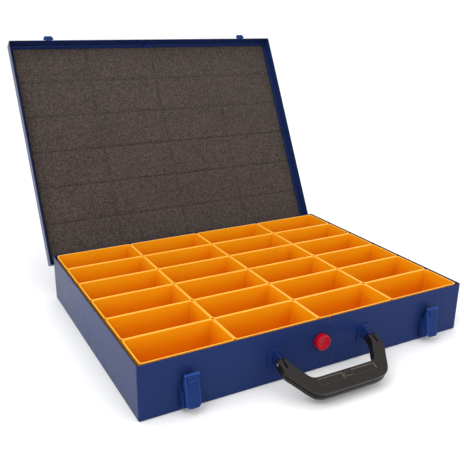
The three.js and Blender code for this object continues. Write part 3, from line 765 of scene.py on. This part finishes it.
def bracket(x):
    low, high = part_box("latch_bracket_left")
    half = (high.x - low.x) / 2
    d, z = FRONT - LEVER_PIN.y, LEVER_PIN.z
    outline = [(0.3 * MM, low.z), (5.6 * MM, low.z), (8.4 * MM, low.z + 3 * MM),
               *arc(d, z, 3.6 * MM, -10, 110, 10), (0.3 * MM, high.z)]
    back, face = FRONT - 0.3 * MM, FRONT - 1.3 * MM
    bm = bar([(-half, face), (half, face), (half, back), (-half, back)], low.z, high.z, axis="Z")
    for side in (-1, 1):
        ends = sorted((side * half, side * (half - 1 * MM)))
        bar([out(a, b) for a, b in outline], *ends, bm=bm)
    # Faint painted highlight on the bracket's edges.
    roll_edges(bm, sharp_edges(bm, 40), 0.3 * MM, 2, light_paint=0.3)
    bmesh.ops.translate(bm, vec=(x, 0, 0), verts=bm.verts)
    return bm


def lid_keeper(x):
    low, high = shut_box("lid_keeper_left")
    lip_top = low.z + 1 * MM
    root = LID_LOW.y
    right = [(4.4 * MM, low.y), (5.6 * MM, low.y + 0.5 * MM), (7.7 * MM, root - 1.7 * MM),
             (7.7 * MM, root - 0.5 * MM), (5.2 * MM, root), (5.2 * MM, high.y)]
    outline = [(-x, y) for x, y in reversed(right)] + right
    bm = bar(outline, low.z, lip_top, axis="Z")
    half, face = 5.2 * MM, high.y - 0.8 * MM
    leg = [(-half, face), (half, face), (half, high.y), (-half, high.y)]
    bar(leg, low.z, high.z, axis="Z", bm=bm)
    roll_edges(bm, sharp_edges(bm, 20), 0.3 * MM, 2)
    bmesh.ops.translate(bm, vec=(x, 0, 0), verts=bm.verts)
    return bm


def pin(node, headed):
    """A turned pin along X with eased ends, and heads if it is riveted."""
    low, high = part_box(node)
    centre = (low + high) / 2
    radius = (high.z - low.z) / 2
    length = high.x - low.x
    if headed:
        bm = rod(centre, radius - 0.8 * MM, length - 0.6 * MM)
        for end in (-1, 1):
            head = centre + Vector((end * (length / 2 - 0.35 * MM), 0, 0))
            rod(head, radius, 0.7 * MM, bm)
    else:
        bm = rod(centre, radius, length)
    roll_edges(bm, sharp_edges(bm, 60), 0.28 * MM, 3)
    return bm


for side, sign in (("left", -1), ("right", 1)):
    x = sign * abs(LEVER_PIN.x)
    for name, bm, body, pose in (
        (f"latch_bracket_{side}", bracket(x), "base", None),
        (f"latch_lever_{side}", lever(x), f"lever_{side}", rest_lever),
        (f"latch_claw_{side}", claw(x), f"claw_{side}", rest_lever),
        (f"lid_keeper_{side}", lid_keeper(x), "lid", OPEN_LID),
        (f"lever_pin_{side}", pin(f"lever_pin_{side}", True), "base", None),
        (f"claw_pin_{side}", pin(f"claw_pin_{side}", False), f"lever_{side}", None),
    ):
        level_normals(finished(name + "_finished", bm, body, fitting_enamel, pose=pose))
print("Latches done, pin at", round(LEVER_PIN.x / MM), "mm")

# %% [markdown]
# ## The lock
# The red button is turned round its own axis: half its section is drawn as an edge loop and spun. Its
# face is dished so that a fingertip finds it. Behind it are a coil spring and, inside the wall, the
# catch with its nose in the slit.

# %% Button, spring, catch and keeper
def button():
    reach = FRONT - BUTTON_LOW.y
    back = FRONT - BUTTON_HIGH.y
    radius = (BUTTON_HIGH.x - BUTTON_LOW.x) / 2
    bore, post, wall, cap, brow = (v * MM for v in (1.8, 3.2, 1.8, 3.0, 1.6))
    steps = 8
    dish = [((radius - 2.2 * MM) * (1 - k / steps), reach - 1.2 * MM * math.sin(k / steps * math.pi / 2))
            for k in range(1, steps + 1)]
    section = [(bore, back), (post, back), (post, reach - cap), (radius - wall, reach - cap),
               (radius - wall, back), (radius - 0.2 * MM, back), (radius, back + 0.3 * MM),
               *arc(radius - brow, reach - brow, brow, 0, 105, 7), *dish]
    bm = bmesh.new()
    line = [bm.verts.new((r, FRONT - d, BUTTON.z)) for r, d in section]
    edges = [bm.edges.new(pair) for pair in zip(line, line[1:])]
    bmesh.ops.spin(
        bm, geom=[*line, *edges], axis=(0, 1, 0), cent=(0, 0, BUTTON.z),
        angle=2 * math.pi, steps=64, use_merge=True, use_duplicate=False,
    )
    mouth = [v for v in bm.verts if abs(math.hypot(v.co.x, v.co.z - BUTTON.z) - bore) < 1e-6]
    rim = [e for e in bm.edges if e.is_boundary and e.verts[0] in mouth and e.verts[1] in mouth]
    deep = bmesh.ops.extrude_edge_only(bm, edges=rim)["geom"]
    for vertex in (v for v in deep if isinstance(v, bmesh.types.BMVert)):
        vertex.co.y = FRONT - (reach - cap)
    bmesh.ops.contextual_create(bm, geom=[e for e in bm.edges if e.is_boundary])
    bmesh.ops.remove_doubles(bm, verts=bm.verts, dist=1e-6)
    bmesh.ops.recalc_face_normals(bm, faces=bm.faces)
    return bm


def spring():
    low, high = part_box("lock_spring")
    wire = 0.5 * MM
    coil = (high.x - low.x) / 2 - wire
    turns, steps = 3, 32
    bm = bmesh.new()
    start = Vector((coil, high.y - wire, BUTTON.z))
    bmesh.ops.create_circle(
        bm, cap_ends=True, radius=wire, segments=10, matrix=Matrix.Translation(start)
    )
    pitch = (high.y - low.y - 2 * wire) / (turns * steps)
    bmesh.ops.spin(
        bm, geom=[*bm.verts, *bm.edges, *bm.faces], axis=(0, 1, 0), cent=(0, 0, BUTTON.z),
        dvec=(0, -pitch, 0), angle=2 * math.pi * turns, steps=turns * steps,
        use_merge=False, use_duplicate=False,
    )
    bmesh.ops.recalc_face_normals(bm, faces=bm.faces)
    return bm


level_normals(finished("lock_button_finished", button(), "lock", button_plastic, smooth=40))
coil = finished("lock_spring_finished", spring(), "lock", spring_wire)
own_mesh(coil)
catch = eased_copy("lock_catch", 0.15 * MM)
finished("lock_catch_finished", catch, "lock", fitting_enamel)


def lock_keeper():
    low, high = shut_box("lock_keeper")
    t, bend = SHEET, PAN_BEND
    side = [(low.y, low.z), (low.y + t, low.z), (low.y + t, high.z - t - bend),
            (low.y + t + bend, high.z - t), (high.y, high.z - t), (high.y, high.z),
            (low.y + bend, high.z), (low.y, high.z - bend)]
    bm = bar(side, low.x, high.x)
    roll_edges(bm, sharp_edges(bm, 20), 0.2 * MM, 2)
    return bm


keeper = lock_keeper()
level_normals(finished("lock_keeper_finished", keeper, "lid", fitting_enamel, pose=OPEN_LID))
print("Lock done")

# %% [markdown]
# ## Hinges
# A butt hinge is two leaves rolled round one pin in turn. The CAD already holds the knuckles and the
# heel that stops the lid, so an eased copy with rolled edges is all they need.

# %% Hinges and their pins
for side in ("left", "right"):
    base_leaf = eased_copy(f"hinge_base_leaf_{side}", 0.18 * MM)
    finished(f"hinge_base_leaf_{side}_finished", base_leaf, "base", fitting_enamel)
    lid_leaf = eased_copy(f"hinge_lid_leaf_{side}", 0.18 * MM)
    finished(f"hinge_lid_leaf_{side}_finished", lid_leaf, "lid", fitting_enamel)
    finished(f"hinge_pin_{side}_finished", pin(f"hinge_pin_{side}", False), "base", zinc_plate)
print("Hinges done")

# %% [markdown]
# ## The handle
# The handle is one moulding: two forked arms that run into a thick grip. Its outline is drawn from
# above and extruded, then worked like clay: the corners are eased, the fork ends rounded, a
# parting groove is pushed into the outer side and two shallow panels into the top of the grip. The
# panels' slopes and the grip's edges are marked for a painted highlight, a paler band standing in for glints.

# %% Handle
PIVOT = joint_point("handle_swing")
HANDLE_DROOP = math.radians(joints["handle_swing"]["range_deg"][0] + 90)
HANDLE_HALF = 5.5 * MM
# In mm, like the outline: distances from the middle of the grip, and from the pivot outwards.
ARM_IN, ARM_OUT = 56.3, 67.6
SLOT_IN, SLOT_OUT, SLOT_DEEP = 60.9, 63.1, 10.0
TIP = -5.5
PANEL_NEAR, PANEL_FAR = 6.0, 38.0  # a panel's ends, from the middle of the grip
PANEL_BACK, PANEL_FRONT = 33.2, 41.5  # a panel's sides, from the pivot


def handle_outline():
    outer = [(30, 52.5), (39.5, 51.8), (46, 49.5), (50.5, 45), (54.2, 39), (57.5, 33), (61.6, 25.5),
             (65.6, 19.5), (ARM_OUT, 14), (ARM_OUT, TIP), (SLOT_OUT, TIP), (SLOT_OUT, SLOT_DEEP),
             (SLOT_IN, SLOT_DEEP), (SLOT_IN, TIP), (ARM_IN, TIP), (ARM_IN, 4.5), (54.5, 9.5),
             (51.5, 14), (48, 20), (44.8, 26.5), (41, 30), (35, 31)]
    points = outer + [(-x, r) for x, r in reversed(outer)]
    return [(x * MM, PIVOT.y - r * MM) for x, r in points]


def is_upright(edge):
    a, b = edge.verts
    return abs(a.co.z - b.co.z) > HANDLE_HALF and (a.co - b.co).xy.length < 1e-7


def handle():
    low, high = PIVOT.z - HANDLE_HALF, PIVOT.z + HANDLE_HALF
    bm = bar(handle_outline(), low, high, axis="Z")

    def reach(vertex):
        return PIVOT.y - vertex.co.y

    corners = [e for e in bm.edges if is_upright(e) and reach(e.verts[0]) > 10.5 * MM
               and e.calc_face_angle(0) > math.radians(8)]
    roll_edges(bm, corners, 2.4 * MM, 3)
    bm.normal_update()
    ends = [e for e in bm.edges
            if not is_upright(e) and all(abs(reach(v) - TIP * MM) < 1e-6 for v in e.verts)]
    roll_edges(bm, ends, HANDLE_HALF - 0.01 * MM, 8)
    groove(bm)
    # Painted highlight on the panels' slopes and the bridge's sides.
    painted_light(bm, panels(bm, high), 1.0)
    bm.normal_update()

    def on_a_face(vertex):
        level = abs(abs(vertex.co.z - PIVOT.z) - HANDLE_HALF) < 1e-6
        return level and reach(vertex) > SLOT_DEEP * MM - 1e-6

    rim = [e for e in sharp_edges(bm, 50)
           if all(on_a_face(v) for v in e.verts)
           or all(abs(abs(v.co.x) - ARM_OUT * MM) < 1e-6 for v in e.verts)]
    # Weaker painted highlight on the grip's rolled rim.
    roll_edges(bm, rim, 1.5 * MM, 4, light_paint=0.3)
    return bm


def groove(bm):
    """Pushes a narrow band of the outer side inwards."""
    for z in (PIVOT.z - 0.8 * MM, PIVOT.z + 0.8 * MM):
        parts = [*bm.verts, *bm.edges, *bm.faces]
        bmesh.ops.bisect_plane(bm, geom=parts, plane_co=(0, 0, z), plane_no=(0, 0, 1), dist=1e-7)
    bm.normal_update()
    band = []
    for face in bm.faces:
        centre = face.calc_center_median()
        outward = face.normal.y < -0.2 or face.normal.x * centre.x > 0.2 * abs(centre.x)
        level = abs(centre.z - PIVOT.z) < 0.4 * MM and abs(face.normal.z) < 0.1
        beyond = PIVOT.y - centre.y > 14 * MM
        along = (Vector((0, PIVOT.y - 18 * MM, 0)) - centre).xy
        if level and beyond and outward and face.normal.xy.dot(along) < 0:
            band.append(face)
    bmesh.ops.inset_region(bm, faces=band, thickness=0.1 * MM, depth=-1.1 * MM, use_even_offset=True)
    print("Groove faces:", len(band))


def panels(bm, top):
    """Sinks two shallow panels into the top of the grip, either side of a plain bridge."""
    ends = (-PANEL_FAR, -PANEL_NEAR, PANEL_NEAR, PANEL_FAR)
    lines = [((x * MM, 0, 0), (1, 0, 0)) for x in ends]
    lines += [((0, PIVOT.y - r * MM, 0), (0, 1, 0)) for r in (PANEL_BACK, PANEL_FRONT)]
    for point, normal in lines:
        faces = [f for f in bm.faces if f.normal.z > 0.99 and abs(f.calc_center_median().z - top) < 1e-6]
        parts = set(faces) | {e for f in faces for e in f.edges} | {v for f in faces for v in f.verts}
        bmesh.ops.bisect_plane(bm, geom=list(parts), plane_co=point, plane_no=normal, dist=1e-7)
        bm.normal_update()
    sunk, pad = [], []
    for face in bm.faces:
        centre = face.calc_center_median()
        on_top = abs(centre.z - top) < 1e-6 and face.normal.z > 0.99
        if not on_top or not PANEL_BACK * MM < PIVOT.y - centre.y < PANEL_FRONT * MM:
            continue
        if abs(centre.x) < PANEL_NEAR * MM:
            pad.append(face)
        elif abs(centre.x) < PANEL_FAR * MM:
            sunk.append(face)
    print("Panel faces:", len(sunk), "pad faces:", len(pad))
    bmesh.ops.inset_region(bm, faces=pad, thickness=1.2 * MM, depth=0, use_even_offset=True)
    raised = bmesh.ops.inset_region(bm, faces=pad, thickness=0.5 * MM, depth=0.7 * MM, use_even_offset=True)
    lowered = bmesh.ops.inset_region(
        bm, faces=sunk, thickness=0.9 * MM, depth=-1.1 * MM, use_even_offset=True,
    )
    return lowered["faces"] + raised["faces"]


droop = turn_about_x(Vector((0, PIVOT.y, PIVOT.z)), HANDLE_DROOP)
grip = finished("handle_finished", handle(), "handle", handle_plastic, pose=droop, smooth=40)
level_normals(grip)

# %% [markdown]
# The handle hangs on two pins through sheet ears. Each ear is a gusset that narrows from the wall to
# a round nose about the pin, and its foot is spot-welded to the pan.

# %% Handle brackets and pins
def handle_bracket(node):
    low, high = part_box(node)
    x = (low.x + high.x) / 2
    half = 0.8 * MM
    back, face = FRONT - 0.3 * MM, FRONT - 1.5 * MM
    nose = arc(FRONT - PIVOT.y, PIVOT.z, 4.4 * MM, -75, 75, 12)
    ear = [(0.3 * MM, PIVOT.z - 9 * MM), *nose, (0.3 * MM, PIVOT.z + 9 * MM)]
    bm = bar([out(a, b) for a, b in ear], x - half, x + half)
    foot = [(low.x, face), (high.x, face), (high.x, back), (low.x, back)]
    bar(foot, low.z, high.z, axis="Z", bm=bm)
    roll_edges(bm, sharp_edges(bm, 50), 0.3 * MM, 2)
    return bm


for side in ("left", "right"):
    node = f"handle_bracket_{side}"
    shaped = handle_bracket(node)
    level_normals(finished(node + "_finished", shaped, "base", fitting_enamel))
    finished(f"handle_pin_{side}_finished", pin(f"handle_pin_{side}", False), "base", zinc_plate)
print("Handle done")

# %% [markdown]
# ## Studio
# A plain pale floor and large soft lights, a key high on the left, a fill in front and one above,
# keep the shadows soft. The camera looks at the case from beyond its left front corner.

# %% Floor, lights and camera
def studio_floor():
    mesh = bpy.data.meshes.new("studio_floor")
    bm = bmesh.new()
    below = Matrix.Translation((0, 0, -0.2 * MM))
    bmesh.ops.create_grid(bm, x_segments=1, y_segments=1, size=12, matrix=below)
    bm.to_mesh(mesh)
    bm.free()
    finish = Finish("studio_floor", IOR=1.2)
    finish.feed(Base_Color=finish.mix(finish.noise(0.4), colour(246, 246, 246), colour(250, 250, 250)))
    finish.feed(Roughness=0.9 + finish.noise(0.3) * 0.05)
    mesh.materials.append(finish.material)
    plane = bpy.data.objects.new("studio_floor", mesh)
    bpy.context.scene.collection.objects.link(plane)
    plane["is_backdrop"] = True


def soft_light(name, place, target, size, watts):
    data = bpy.data.lights.new(name, "AREA")
    data.shape = "DISK"
    data.size = size
    data.energy = watts
    lamp = bpy.data.objects.new(name, data)
    lamp.location = place
    lamp.rotation_mode = "QUATERNION"
    lamp.rotation_quaternion = (Vector(target) - Vector(place)).to_track_quat("-Z", "Y")
    bpy.context.scene.collection.objects.link(lamp)


studio_floor()
soft_light("key", (-1.3, -0.5, 1.7), (0, 0, 0.05), 1.3, 12)
soft_light("front_fill", (0.7, -1.9, 1.2), (0, 0, 0.1), 1.4, 5)
soft_light("top", (0.1, 0.2, 2.2), (0, 0, 0), 1.6, 6)

world = bpy.data.worlds.new("studio")
world.use_nodes = True
world.node_tree.nodes["Background"].inputs["Color"].default_value = (1, 1, 1, 1)
world.node_tree.nodes["Background"].inputs["Strength"].default_value = 1.08
bpy.context.scene.world = world
bpy.context.scene.view_settings.view_transform = "Standard"

camera_data = bpy.data.cameras.new("camera")
camera_data.lens = 49.23
camera_data.sensor_width = 36
camera_data.clip_start = 0.01
camera_data.clip_end = 50
camera = bpy.data.objects.new("camera", camera_data)
camera.location = (-0.39962, -0.67954, 0.39189)
camera.rotation_mode = "QUATERNION"
camera.rotation_quaternion = (0.791141, 0.559606, -0.148057, -0.197524)
bpy.context.scene.collection.objects.link(camera)
bpy.context.scene.camera = camera

low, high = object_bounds()
print("Visual box, mm:", [round(v / MM, 1) for v in (*low, *high)])
